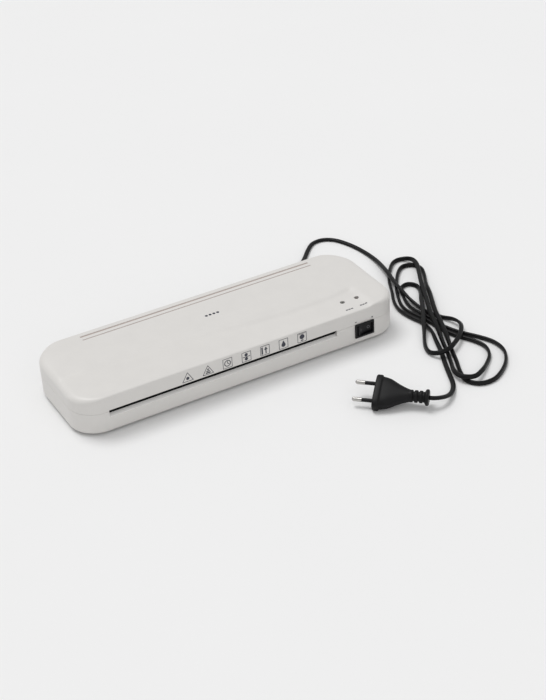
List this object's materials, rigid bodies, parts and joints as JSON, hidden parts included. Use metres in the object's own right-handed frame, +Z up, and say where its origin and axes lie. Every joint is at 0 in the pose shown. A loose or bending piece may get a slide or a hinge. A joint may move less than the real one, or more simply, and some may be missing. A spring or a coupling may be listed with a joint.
{
  "type": "pouch laminator",
  "caption": "Long low desktop pouch laminator with a front feed slot, rear exit, two lamps, a rocker switch and a bundled two-core mains cord with a flat two-pin plug.",
  "frame": {"origin": "on the table, under the middle of the case", "axes": "+X along the feed slot towards the switch end, +Y from the front to the back, +Z up"},
  "size_m": [0.4175, 0.3231, 0.0404],
  "materials": {
    "case_plastic": "warm light-grey ABS, fine satin texture",
    "foot_rubber": "matt black rubber",
    "steel": "zinc-plated sheet and screws",
    "black_plastic": "satin black moulding",
    "brass": "tinned brass blades",
    "green_lens": "tinted clear epoxy",
    "orange_lens": "tinted clear epoxy",
    "circuit_board": "solder-masked board",
    "ivory_plastic": "moulded connectors and parts",
    "gear_plastic": "natural acetal",
    "silicone": "heat-proof silicone rubber",
    "aluminium": "extruded plate",
    "mica": "mica-wrapped heater strip",
    "guide_plastic": "heat-proof black moulding",
    "wire_sheath": "PVC wire",
    "cord_sheath": "flexible black PVC",
    "plug_plastic": "moulded black PVC",
    "nickel": "nickel-plated brass"
  },
  "bodies": {
    "case": {"base_tray": "case_plastic", "left_rim": "case_plastic", "right_rim": "case_plastic", "feed_sill": "case_plastic", "top_cover": "case_plastic", "rubber_feet": "foot_rubber", "case_screws": "steel", "switch_housing": "black_plastic", "switch_terminals": "brass", "power_lamp": "green_lens", "ready_lamp": "orange_lens", "lamp_board": "circuit_board", "control_board": "circuit_board", "board_parts": "ivory_plastic", "board_screws": "steel", "terminal_block": "ivory_plastic", "left_side_plate": "steel", "right_side_plate": "steel", "tie_rods": "steel", "frame_screws": "steel", "lower_bushes": "gear_plastic", "motor_bracket": "steel", "drive_motor": "steel", "motor_screws": "steel", "lower_heater_plate": "aluminium", "upper_heater_plate": "aluminium", "lower_heater_strip": "mica", "upper_heater_strip": "mica", "thermostat": "black_plastic", "thermal_fuse": "steel", "lower_entry_guide": "guide_plastic", "upper_entry_guide": "guide_plastic", "lower_exit_guide": "guide_plastic", "upper_exit_guide": "guide_plastic", "cord_clamp": "guide_plastic", "clamp_screws": "steel", "mains_wires": "wire_sheath", "lamp_wires": "wire_sheath", "strain_relief": "cord_sheath", "power_cord": "cord_sheath", "plug_body": "plug_plastic", "plug_pins": "nickel", "pin_sleeves": "black_plastic"},
    "rocker": {"switch_rocker": "black_plastic"},
    "lower_roller": {"lower_shaft": "steel", "lower_roller_sleeve": "silicone", "lower_gear": "gear_plastic"},
    "upper_carrier": {"upper_bushes": "gear_plastic", "pressure_springs": "steel"},
    "upper_roller": {"upper_shaft": "steel", "upper_roller_sleeve": "silicone", "upper_gear": "gear_plastic"},
    "pinion": {"motor_pinion": "gear_plastic"}
  },
  "joints": [
    {"name": "rocker_tilt", "type": "hinge", "parent": "case", "child": "rocker", "pos_m": [0.1263, -0.0525, 0.0165], "axis": [0, 0, 1], "range_deg": [-20, 0]},
    {"name": "lower_roller_spin", "type": "hinge", "parent": "case", "child": "lower_roller", "pos_m": [0, 0.016, 0.01435], "axis": [1, 0, 0], "continuous": true},
    {"name": "upper_roller_lift", "type": "slide", "parent": "case", "child": "upper_carrier", "axis": [0, 0, 1], "range_m": [0, 0.0008], "stiffness_N_per_m": 8000, "springref_m": -0.0025, "deforming": ["pressure_springs"]},
    {"name": "upper_roller_spin", "type": "hinge", "parent": "upper_carrier", "child": "upper_roller", "pos_m": [0, 0.016, 0.02865], "axis": [1, 0, 0], "continuous": true},
    {"name": "pinion_spin", "type": "hinge", "parent": "case", "child": "pinion", "pos_m": [0.106, 0.02887, 0.01435], "axis": [1, 0, 0], "continuous": true}
  ],
  "couplings": [
    {"joint": "upper_roller_spin", "follows": "lower_roller_spin", "ratio": -1},
    {"joint": "pinion_spin", "follows": "lower_roller_spin", "ratio": -1.25}
  ]
}
